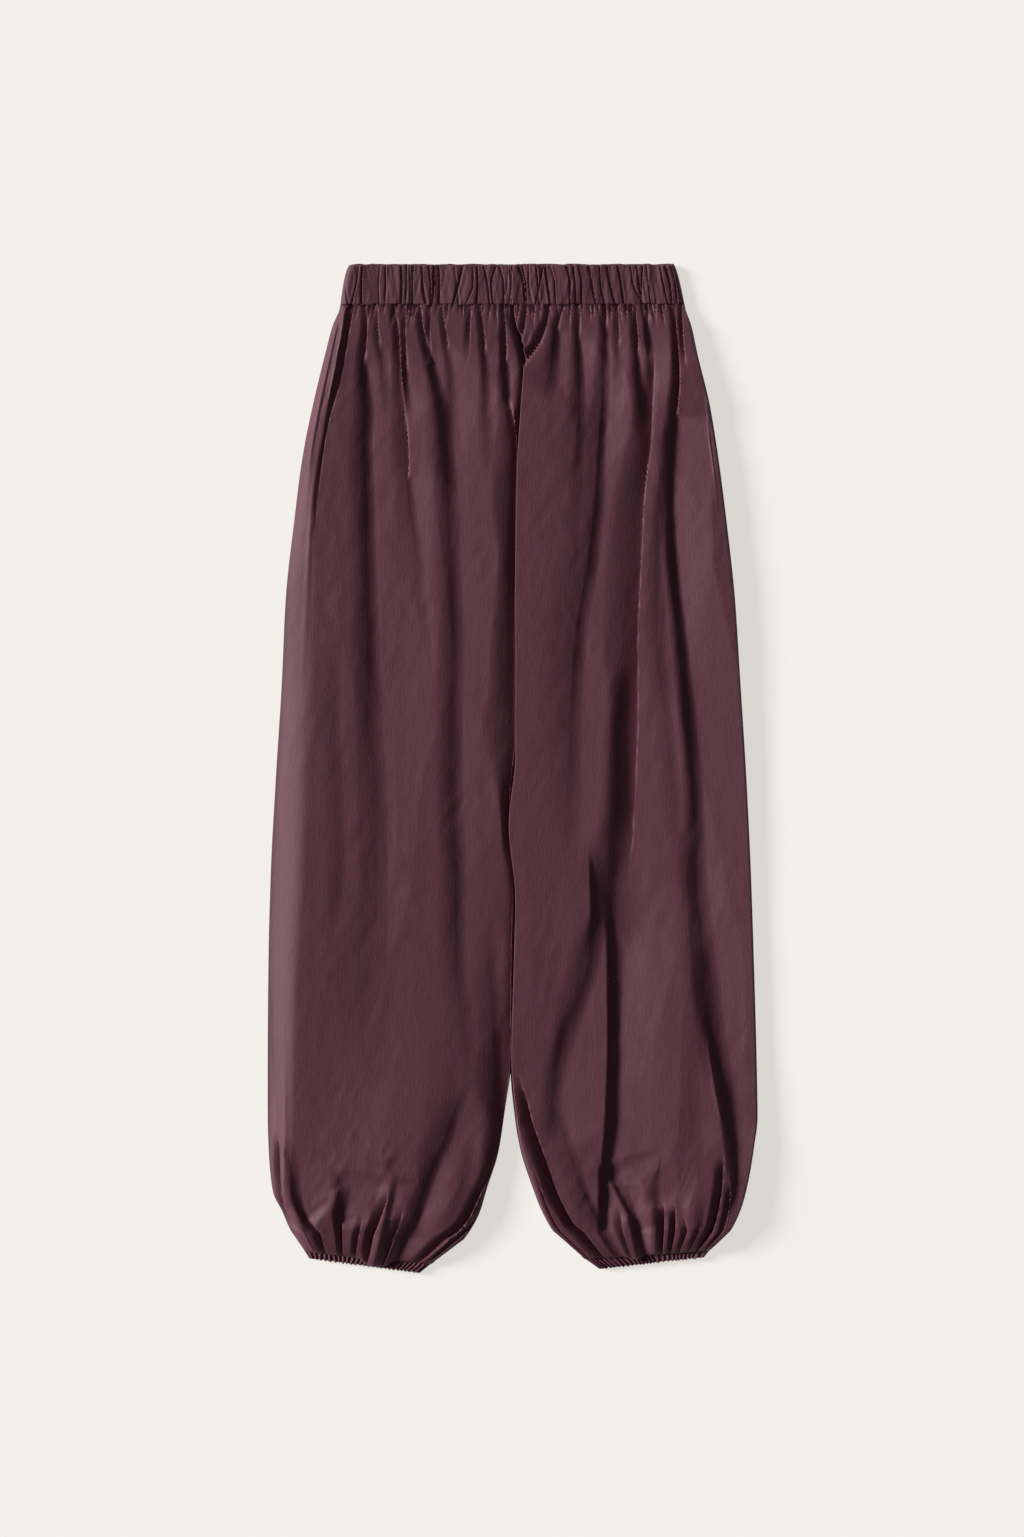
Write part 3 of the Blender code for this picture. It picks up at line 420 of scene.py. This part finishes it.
def grid_object(name, across, down, height, material, thickness):
    """A cloth shell over a grid of points, ordered from the hem to the waist and from -X to +X."""
    rows, columns = across.shape
    points = np.stack([across, LENGTH / 2 - down, height], axis=2).reshape(-1, 3) * MM
    corner = (np.arange(rows - 1)[:, None] * columns + np.arange(columns - 1)[None, :]).ravel()
    faces = np.stack([corner, corner + 1, corner + columns + 1, corner + columns], axis=1)
    mesh = bpy.data.meshes.new(name)
    mesh.from_pydata(points.tolist(), [], faces.tolist())
    mesh.shade_smooth()
    mesh.set_sharp_from_angle(angle=math.radians(LIP_ANGLE))
    mesh.materials.append(material)
    piece = bpy.data.objects.new(name, mesh)
    bpy.context.scene.collection.objects.link(piece)
    wall = piece.modifiers.new("cloth", "SOLIDIFY")
    wall.thickness = thickness * MM
    wall.offset = -1.0
    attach(piece, "root")
    return piece


def leg_lines(sections, side, places):
    """The sections' values at places along the leg, as columns, with the inner edge in place of the parting."""
    index = range(len(sections))
    columns = {name: curve(tuple(zip(index, values)), places) for name, values in zip(Section._fields, zip(*sections))}
    columns["inner"] = curve(MIDDLE, columns["inner_down"]) + side * (columns["parting"] - 0.1)
    if side > 0:
        columns["inner_roll"] = np.minimum(columns["inner_roll"], 2.0 + columns["parting"] / 5.0)
    columns["outer_down"][0] += GAP / 2
    columns["inner_down"][0] += GAP / 2
    return columns


def leg_places():
    places = [np.linspace(k, k + 1, rows, endpoint=False) for k, rows in enumerate(SECTION_ROWS)]
    return np.concatenate(places + [[BLOUSE_SECTION]])


def leg_points(sections, side, side_width, undercut, outer_undercut):
    """Across, down, height and share of free cloth, for the flat part of a leg's grid, from waist to blouse.

    The outer side slopes over its own width. The inner side is a short roll whose foot may lie under its own lip.
    """
    line = {name: values[:, None] for name, values in leg_lines(sections, side, leg_places()).items()}
    inward = -side
    slope_share = np.linspace(0, 1, EDGE_COLUMNS, endpoint=False)
    turn = np.linspace(0, math.pi / 2, EDGE_COLUMNS, endpoint=False)
    width = curve(side_width, line["outer_down"])
    foot_under = curve(outer_undercut, line["outer_down"])
    outer = line["outer"] + inward * (width * slope_share ** 1.3 + foot_under * (1 - slope_share) ** 2)
    tucked = curve(undercut, line["inner_down"]) * (1 - np.sin(turn))
    inner = line["inner"] - inward * (line["inner_roll"] * (1 - np.cos(turn)) + tucked)
    start = line["outer"] + inward * width
    end = line["inner"] - inward * line["inner_roll"]
    between = start + (end - start) * np.linspace(0, 1, INNER_COLUMNS)
    across = np.concatenate([line["outer"], outer, between, inner[:, ::-1], inner[:, :1]], axis=1)
    full = np.clip((across - line["outer"]) / (line["inner"] - line["outer"]), 0, 1)
    down = line["outer_down"] + (line["inner_down"] - line["outer_down"]) * full
    lit = side < 0
    outer_foot = np.minimum(line["outer_seam"], LIT_SEAM) if lit else line["outer_seam"]
    outer_start = outer_foot + GAP / 2 + LIP
    inner_start = line["inner_seam"] + GAP / 2 + LIP
    loft = line["loft"]
    outer_height = outer_start + (loft - outer_start) * (1 - (1 - slope_share ** 1.3) ** 1.8)
    inner_height = inner_start + (loft - inner_start) * np.sin(turn)
    height = np.concatenate([
        outer_foot + GAP / 2, outer_height, np.repeat(loft, INNER_COLUMNS, axis=1), inner_height[:, ::-1],
        line["inner_seam"] + GAP / 2,
    ], axis=1)
    rim = np.ones_like(across[0])
    rim[:1 + EDGE_COLUMNS] = np.clip(np.arange(1 + EDGE_COLUMNS) / 7.0, 0, 1)
    rim[-1 - EDGE_COLUMNS:] = np.concatenate([np.sin(turn)[::-1], [0.0]])
    return across, down, height, rim[None, :] * np.ones_like(across)


def undulation(across, down, seed):
    """The low uneven swell of the cloth along the leg, and short crumples that run every way."""
    bend = 12 * noise(across, down, 90, 260, seed + 9)
    soft = 0.5 * noise(across + bend, down, 34, 230, seed) + 0.16 * noise(across + bend, down, 14, 110, seed + 1)
    slant = across + 0.7 * down
    lean = across - 0.55 * down
    small = 0.17 * noise(slant, down, 8, 26, seed + 2) + 0.17 * noise(lean, down, 9, 22, seed + 3)
    crumple = 0.24 * (1 - 2 * np.abs(noise(slant, lean, 13, 21, seed + 4)))
    patch = ease(0.5 + noise(across, down, 45, 70, seed + 5))
    return soft + (small + crumple) * (0.35 + 0.65 * patch)


def seam_wave(across):
    """How far the gathers pull the waist seam up or down along its length."""
    return 0.8 * noise(across, across * 0, 6.5, 9, 71) + 0.3 * noise(across, across * 0, 3.1, 9, 72)


def seam_puckers(across, down, seam, count, seed):
    """Short gathers that start in the waist seam and die out a little below it: how deep each lowers the cloth."""
    rng = np.random.default_rng(seed)
    depth = np.zeros_like(across)
    for place in np.linspace(-168, 168, count):
        start = place + rng.uniform(-2.2, 2.2)
        length = rng.uniform(7, 30)
        lean = rng.uniform(-0.12, 0.12) + place / 172 * 0.15
        strength = rng.uniform(1.2, 3.6)
        width = rng.uniform(2.4, 5.0)
        below = (down - seam) / length
        fade = np.where(below < 1, (1 - np.clip(below, 0, 1)) ** 1.3, 0.0)
        off = across - start - lean * (down - seam)
        t = np.clip(np.where(off < 0, -off / width, off / 1.2), 0, 1)
        depth = np.maximum(depth, strength * fade * (1 - t) ** 1.6)
    return depth


def gather_folds(across, down, folds, kind):
    """Summed depth of some folds, and how far their floors tuck in under a sharp right lip."""
    total = np.zeros_like(across)
    tuck = np.zeros_like(across)
    for rows in folds:
        depth, under = fold_depth(across, down, rows, kind)
        total += depth
        tuck = np.maximum(tuck, under)
    return np.minimum(total, DEEPEST), tuck


def front_leg(name, sections, side, tables, overhang, material, seed):
    """Front of one leg: a fine draped shell that blouses over its hem casing."""
    folds, ridges, swells, hem_folds, edge_fall, side_width, undercut, outer_undercut = tables
    across, down, height, rim = leg_points(sections, side, side_width, undercut, outer_undercut)
    depth, tuck = gather_folds(across, down, folds, "pleat")
    hem_depth, hem_tuck = gather_folds(across, down, hem_folds, "pleat")
    ridge = sum(fold_depth(across, down, rows, "crease")[0] for rows in ridges)
    ridge = ridge + sum(fold_depth(across, down, rows, "round")[0] for rows in swells)
    depth = np.minimum(depth + hem_depth, DEEPEST)
    outer = across[:, :1]
    seam_across = across
    fall = curve(edge_fall, down) * (1 - np.clip(np.abs(across - outer) / EDGE_FALL_WIDTH, 0, 1)) ** 1.6
    near_seam = 0.9 + 0.1 * ease((down - BAND_HEIGHT) / 75.0)
    pucker = seam_puckers(across, down, BAND_HEIGHT, 66, seed + 20)
    depth = depth * near_seam + pucker * rim
    swell = undulation(across, down, seed) * ease((down - BAND_HEIGHT) / 40.0) + ridge - fall
    raised = height - depth * rim + swell * rim
    lowest = np.minimum(height, FLOOR + 1.2 * (1 - rim))
    limit = 1.0
    raised = lowest + limit * np.log1p(np.exp(np.clip((raised - lowest) / limit, -30, 30)))
    raised = np.where(rim < 1, np.minimum(raised, height + 1.0), raised)
    raised[:, 0] = height[:, 0]
    raised[:, -1] = height[:, -1]
    across = across + (np.maximum(tuck, hem_tuck) * near_seam + 0.7 * pucker) * rim
    down = down + (seam_wave(seam_across) - SEAM_TUCK) * np.exp(-(down - BAND_HEIGHT) / 5.0)
    across, down, raised = add_blouse(across, down, raised, sections, side, overhang, rim[0])
    order = slice(None) if side < 0 else slice(None, None, -1)
    return grid_object(
        name, across[::-1, order], down[::-1, order], raised[::-1, order], material, CLOTH
    )


def add_blouse(across, down, height, sections, side, overhang, rim):
    """Rows that turn over past the casing's seam and come back under to it."""
    seam = leg_lines(sections, side, np.array([len(sections) - 1.0, len(sections) - 1.0]))
    share = (across[-1] - across[-1, 0]) / (across[-1, -1] - across[-1, 0])
    seam_across = seam["outer"][1] + (seam["inner"][1] - seam["outer"][1]) * share
    seam_down = seam["outer_down"][1] + (seam["inner_down"][1] - seam["outer_down"][1]) * share
    run = seam_down - down[-1]
    over = curve(overhang, seam_across) * rim
    seam_height = np.where(rim > 0, 5.6, 4.4)
    seam_height[0] = height[-1, 0] * 0.5 + 1.7
    seam_height[-1] = height[-1, -1] * 0.5 + 1.7
    last = np.pi - np.arcsin(np.clip(run / (run + over), -1, 1))
    last = np.where(over < 0.01, np.pi / 2, last)
    parts = []
    for k in range(1, BLOUSE_ROWS + 1):
        turn = last * k / BLOUSE_ROWS
        part_down = down[-1] + (run + over) * np.sin(turn)
        part_across = across[-1] + (seam_across - across[-1]) * np.sin(np.pi / 2 * k / BLOUSE_ROWS)
        fall = (np.cos(turn) - np.cos(last)) / (1 - np.cos(last))
        parts.append((part_across, part_down, seam_height + (height[-1] - seam_height) * fall))
    stacked = [np.stack([part[i] for part in parts]) for i in range(3)]
    return [np.concatenate([old, new]) for old, new in zip((across, down, height), stacked)]


def back_leg(name, sections, side, material, seed):
    """Back of one leg: flat where it lies, and turned up at both edges to meet the front."""
    across, down, height, rim = leg_points(sections, side, BACK_SIDE, NO_UNDERCUT, NO_UNDERCUT)
    line = leg_lines(sections, side, leg_places())
    top = np.where(
        np.abs(across - line["outer"][:, None]) < np.abs(across - line["inner"][:, None]),
        line["outer_seam"][:, None], line["inner_seam"][:, None],
    )
    top = np.minimum(top, LIT_SEAM) if side < 0 else top
    under = np.maximum(top - GAP / 2 - LIP, 0.0) * (1 - rim)
    creases = 0.5 + 0.5 * noise(across, down, 9, 160, seed)
    under = under + rim * 1.1 * np.clip(creases - 0.62, 0, 1) ** 1.5
    under[:, 0] = top[:, 0] - GAP / 2
    under[:, -1] = top[:, -1] - GAP / 2
    seam = leg_lines(sections, side, np.array([len(sections) - 1.0, len(sections) - 1.0]))
    share = (across[-1] - across[-1, 0]) / (across[-1, -1] - across[-1, 0])
    seam_across = seam["outer"][1] + (seam["inner"][1] - seam["outer"][1]) * share
    seam_down = seam["outer_down"][1] + (seam["inner_down"][1] - seam["outer_down"][1]) * share
    steps = np.linspace(0, 1, 9)[1:, None]
    across = np.concatenate([across, across[-1] + (seam_across - across[-1]) * steps])
    down = np.concatenate([down, down[-1] + (seam_down - down[-1]) * steps])
    under = np.concatenate([under, under[-1] * (1 - steps) + np.minimum(under[-1], 1.2) * steps])
    order = slice(None) if side < 0 else slice(None, None, -1)
    piece = grid_object(
        name, across[::-1, order], down[::-1, order], under[::-1, order], material, CLOTH
    )
    piece.modifiers["cloth"].offset = 1.0
    return piece


def band_shape(columns, rows, waves):
    """Across and down of the waistband's grid, with its scalloped top edge."""
    share = np.linspace(0, 1, columns)[None, :]
    drop = np.linspace(0, 1, rows)[:, None]
    top = -BAND_TOP_HALF + 2 * BAND_TOP_HALF * share
    foot = -BAND_FOOT_HALF + 2 * BAND_FOOT_HALF * share
    bulge = 0.42 + 0.25 * share
    across = top + (foot - top) * drop ** bulge
    down = (BAND_HEIGHT - GAP / 2) * drop + waves * (1 - drop) ** 6 + seam_wave(across) * drop ** 8
    return across, down, share, drop


def band_front(material):
    """The waistband's front: cloth gathered over elastic, with its main creases given one by one."""
    columns, rows = 620, 52
    share = np.linspace(0, 1, columns)[None, :]
    waves = 0.8 + 0.7 * noise(share * 343, share * 0, 7.5, 50, 31) + 0.4 * noise(share * 343, share * 0, 3, 50, 32)
    across, down, share, drop = band_shape(columns, rows, waves)
    depth = np.zeros_like(across)
    for top, middle, foot, deep in BAND_CREASES:
        left, right = 1.3 + 0.6 * deep, 1.0
        path = ((0, top, deep * 0.8, left, right), (21, middle, deep, left, right), (42, foot, deep * 0.9, left, right))
        depth = np.maximum(depth, fold_depth(across, down, path, "crease")[0])
    puff = 0.85 * noise(across, down, 7.5, 60, 33) + 0.3 * noise(across + 0.2 * down, down, 3.1, 22, 34)
    crease = 0.3 * (1 - 2 * np.abs(noise(across - 0.15 * down, down, 4.6, 30, 35)))
    edge = np.minimum(share, 1 - share) * 2 * BAND_FOOT_HALF
    roll = np.sqrt(np.clip(1 - (1 - np.clip(edge / 7.0, 0, 1)) ** 2, 0, 1))
    top_roll = np.sqrt(np.clip(1 - (1 - np.clip(drop * BAND_HEIGHT / 3.0, 0, 1)) ** 2, 0, 1))
    foot_roll = 0.75 + 0.25 * np.sqrt(np.clip(1 - (1 - np.clip((1 - drop) * BAND_HEIGHT / 2.2, 0, 1)) ** 2, 0, 1))
    height = 3.3 + 5.0 * roll * top_roll * foot_roll
    height = height + (puff + crease - depth) * roll * top_roll
    height = np.maximum(height, 3.2 + 0.4 * roll * top_roll)
    across = across + 0.45 * depth * roll
    return grid_object(
        "waistband_front_cloth", across[::-1], down[::-1], height[::-1], material, CLOTH
    )


def band_back(material):
    columns, rows = 240, 24
    share = np.linspace(0, 1, columns)[None, :]
    waves = 0.5 + 0.5 * noise(share * 343, share * 0, 7.5, 50, 41)
    across, down, share, drop = band_shape(columns, rows, waves)
    edge = np.minimum(share, 1 - share) * 2 * BAND_FOOT_HALF
    roll = np.sqrt(np.clip(1 - (1 - np.clip(edge / 7.0, 0, 1)) ** 2, 0, 1))
    top_roll = np.sqrt(np.clip(1 - (1 - np.clip(drop * BAND_HEIGHT / 3.0, 0, 1)) ** 2, 0, 1))
    gather = 0.5 + 0.5 * noise(across, down, 3.2, 60, 42)
    under = 3.0 * (1 - roll * top_roll) + 0.9 * np.clip(gather - 0.45, 0, 1) * roll * top_roll
    piece = grid_object(
        "waistband_back_cloth", across[::-1], down[::-1], under[::-1], material, CLOTH
    )
    piece.modifiers["cloth"].offset = 1.0
    return piece


def hem_casing(name, sections, side, foot_outer, foot_inner, material, seed, front):
    """One side of a leg's elastic casing, pleated along its whole length."""
    columns, rows = 300, 22
    seam = leg_lines(sections, side, np.array([len(sections) - 1.0, len(sections) - 1.0]))
    outer = np.array([seam["outer"][1], seam["outer_down"][1] + GAP])
    inner = np.array([seam["inner"][1], seam["inner_down"][1] + GAP])
    ends = [outer, inner, np.array(foot_outer), np.array(foot_inner)]
    if side > 0:
        ends = [inner, outer, np.array(foot_inner), np.array(foot_outer)]
    share = np.linspace(0, 1, columns)[None, :, None]
    drop = np.linspace(0, 1, rows)[:, None, None]
    head = ends[0] + (ends[1] - ends[0]) * share
    foot = ends[2] + (ends[3] - ends[2]) * share
    spot = head + (foot - head) * drop
    across, down = spot[:, :, 0], spot[:, :, 1]
    width = np.hypot(*(ends[1] - ends[0]))
    share, drop = share[:, :, 0], drop[:, :, 0]
    length = share * width
    lean = 1.6 * noise(length, drop, 16, 1, seed + 5) * (drop - 0.5)
    phase = length / 4.8 + 0.45 * noise(length, drop * 0, 11, 9, seed) + lean * 0.3
    wave = np.cos(2 * np.pi * phase)
    fine = noise(length + lean, drop * 11, 1.7, 9, seed + 1)
    pleat = 0.85 * np.sign(wave) * np.abs(wave) ** 0.7 + 0.35 * fine
    down = down + drop ** 3 * 0.55 * (wave + fine) * np.clip(np.minimum(share, 1 - share) * 12, 0, 1)
    edge = np.minimum(share, 1 - share) * width
    roll = np.sqrt(np.clip(1 - (1 - np.clip(edge / 5.0, 0, 1)) ** 2, 0, 1))
    foot_roll = np.sqrt(np.clip(1 - (1 - np.clip((1 - drop) * 11 / 2.6, 0, 1)) ** 2, 0, 1))
    shape = roll * foot_roll
    if front:
        height = 3.1 + 2.7 * shape + (0.7 + 0.7 * drop) * pleat * shape
        height = np.maximum(height, 2.8)
    else:
        height = 2.5 * (1 - shape) + 0.5 * (1 - pleat) * shape
        height = np.maximum(height, 0.0)
    piece = grid_object(name, across[::-1], down[::-1], height[::-1], material, 0.35)
    piece.modifiers["cloth"].offset = -1.0 if front else 1.0
    return piece


def cloth_material(name, colour, light_colour):
    """Crisp plain-woven cotton: an uneven dye, fine threads both ways and faint crinkles."""
    material = bpy.data.materials.new(name)
    material.use_nodes = True
    tree = material.node_tree
    nodes, links = tree.nodes, tree.links
    shader = nodes["Principled BSDF"]
    shader.inputs["Roughness"].default_value = 0.68
    shader.inputs["Specular IOR Level"].default_value = 0.45
    shader.inputs["Sheen Weight"].default_value = 0.05
    shader.inputs["Sheen Roughness"].default_value = 0.45
    shader.inputs["Sheen Tint"].default_value = (0.9, 0.62, 0.7, 1.0)

    place = nodes.new("ShaderNodeTexCoord")

    def scaled(x, y, z):
        mapping = nodes.new("ShaderNodeMapping")
        mapping.inputs["Scale"].default_value = (x, y, z)
        links.new(place.outputs["Object"], mapping.inputs["Vector"])
        return mapping.outputs["Vector"]

    def noise_node(vector, scale, detail, roughness):
        node = nodes.new("ShaderNodeTexNoise")
        node.inputs["Scale"].default_value = scale
        node.inputs["Detail"].default_value = detail
        node.inputs["Roughness"].default_value = roughness
        links.new(vector, node.inputs["Vector"])
        return node.outputs["Fac"]

    def mix(kind, a, b, share):
        node = nodes.new("ShaderNodeMath")
        node.operation = kind
        links.new(a, node.inputs[0])
        if isinstance(b, float):
            node.inputs[1].default_value = b
        else:
            links.new(b, node.inputs[1])
        if share is not None:
            node.inputs[2].default_value = share
        return node.outputs[0]

    threads = noise_node(scaled(1100, 160, 160), 1.0, 2.0, 0.5)
    weft = noise_node(scaled(160, 1100, 160), 1.0, 2.0, 0.5)
    mottle = noise_node(scaled(30, 18, 26), 1.0, 4.0, 0.6)
    streak = mix("ADD", mix("MULTIPLY", threads, 0.5, None), mix("MULTIPLY", weft, 0.5, None), None)
    dye = mix("ADD", mix("MULTIPLY", streak, 0.55, None), mix("MULTIPLY", mottle, 0.45, None), None)
    ramp = nodes.new("ShaderNodeValToRGB")
    ramp.color_ramp.elements[0].position = 0.32
    ramp.color_ramp.elements[0].color = colour
    ramp.color_ramp.elements[1].position = 0.68
    ramp.color_ramp.elements[1].color = light_colour
    links.new(dye, ramp.inputs["Fac"])
    links.new(ramp.outputs["Color"], shader.inputs["Base Color"])

    crinkle = noise_node(scaled(420, 120, 200), 1.0, 4.0, 0.6)
    bump = nodes.new("ShaderNodeBump")
    bump.inputs["Strength"].default_value = 0.3
    bump.inputs["Distance"].default_value = 0.0009
    links.new(mix("ADD", crinkle, mix("MULTIPLY", streak, 0.6, None), None), bump.inputs["Height"])
    links.new(bump.outputs["Normal"], shader.inputs["Normal"])
    return material


def floor_material():
    """Backdrop paper that glows a little, so that shadows on it stay as pale as in the photograph."""
    material = bpy.data.materials.new("floor_paper")
    material.use_nodes = True
    shader = material.node_tree.nodes["Principled BSDF"]
    shader.inputs["Base Color"].default_value = (0.275, 0.27, 0.265, 1.0)
    shader.inputs["Roughness"].default_value = 1.0
    shader.inputs["Specular IOR Level"].default_value = 0.0
    shader.inputs["Emission Color"].default_value = (1.0, 0.968, 0.915, 1.0)
    shader.inputs["Emission Strength"].default_value = 0.672
    return material


def make_stage():
    """A pale floor, a low key light from the waist's right side, and a soft fill from everywhere."""
    mesh = bpy.data.meshes.new("floor")
    half = 30.0
    mesh.from_pydata([(-half, -half, 0), (half, -half, 0), (half, half, 0), (-half, half, 0)], [], [(0, 1, 2, 3)])
    mesh.materials.append(floor_material())
    floor = bpy.data.objects.new("floor", mesh)
    floor.location.z = -0.0005
    bpy.context.scene.collection.objects.link(floor)

    world = bpy.data.worlds.new("studio")
    world.use_nodes = True
    world.node_tree.nodes["Background"].inputs["Color"].default_value = (1.0, 0.985, 0.965, 1.0)
    world.node_tree.nodes["Background"].inputs["Strength"].default_value = 0.12
    bpy.context.scene.world = world

    key = bpy.data.lights.new("key", "SUN")
    key.energy = 5.45
    key.angle = math.radians(17.0)
    key.color = (1.0, 0.98, 0.95)
    lamp = bpy.data.objects.new("key", key)
    elevation, bearing = math.radians(23.0), math.radians(165.0)
    level = math.cos(elevation)
    from_light = (level * math.cos(bearing), level * math.sin(bearing), math.sin(elevation))
    lamp.rotation_euler = Vector(from_light).to_track_quat("Z", "Y").to_euler()
    bpy.context.scene.collection.objects.link(lamp)


def make_camera():
    camera = bpy.data.cameras.new("camera")
    camera.sensor_width = SENSOR
    camera.lens = SENSOR * CAMERA_HEIGHT / PHOTO_HIGH
    item = bpy.data.objects.new("camera", camera)
    item.location = (CAMERA_SHIFT[0], CAMERA_SHIFT[1], CAMERA_HEIGHT)
    bpy.context.scene.collection.objects.link(item)
    bpy.context.scene.camera = item


def build():
    leg = cloth_material("plum_cotton", (0.078, 0.018, 0.034, 1.0), (0.098, 0.0235, 0.0435, 1.0))
    right_tables = (
        RIGHT_FOLDS, RIGHT_RIDGES, RIGHT_SWELLS, RIGHT_HEM_FOLDS, RIGHT_EDGE_FALL, RIGHT_SIDE, RIGHT_UNDERCUT,
        NO_UNDERCUT,
    )
    left_tables = (
        LEFT_FOLDS, LEFT_RIDGES, LEFT_SWELLS, LEFT_HEM_FOLDS, LEFT_EDGE_FALL, LEFT_SIDE, LEFT_UNDERCUT,
        LEFT_OUTER_UNDERCUT,
    )
    fronts = {
        "right": front_leg("right_front_leg_cloth", RIGHT_SECTIONS, -1.0, right_tables, RIGHT_OVERHANG, leg, 100),
        "left": front_leg("left_front_leg_cloth", LEFT_SECTIONS, 1.0, left_tables, LEFT_OVERHANG, leg, 200),
    }
    backs = {
        "right": back_leg("right_back_leg_cloth", RIGHT_SECTIONS, -1.0, leg, 300),
        "left": back_leg("left_back_leg_cloth", LEFT_SECTIONS, 1.0, leg, 400),
    }
    for side in fronts:
        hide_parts(side + "_front_leg")
        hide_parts(side + "_back_leg")
    front = band_front(leg)
    back = band_back(leg)
    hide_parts("waistband_front")
    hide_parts("waistband_back")
    hems = (
        ("right", RIGHT_SECTIONS, -1.0, (-203.0, 994.0), (-93.0, LENGTH - 0.4), 500),
        ("left", LEFT_SECTIONS, 1.0, (191.0, 993.0), (87.0, 1004.5), 600),
    )
    for prefix, sections, side, foot_outer, foot_inner, seed in hems:
        for part in ("front", "back"):
            piece = hem_casing(
                prefix + "_hem_" + part + "_cloth", sections, side, foot_outer, foot_inner, leg, seed,
                part == "front",
            )
            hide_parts(prefix + "_hem_" + part)


build()
make_stage()
make_camera()
bpy.context.scene.view_settings.view_transform = "Standard"
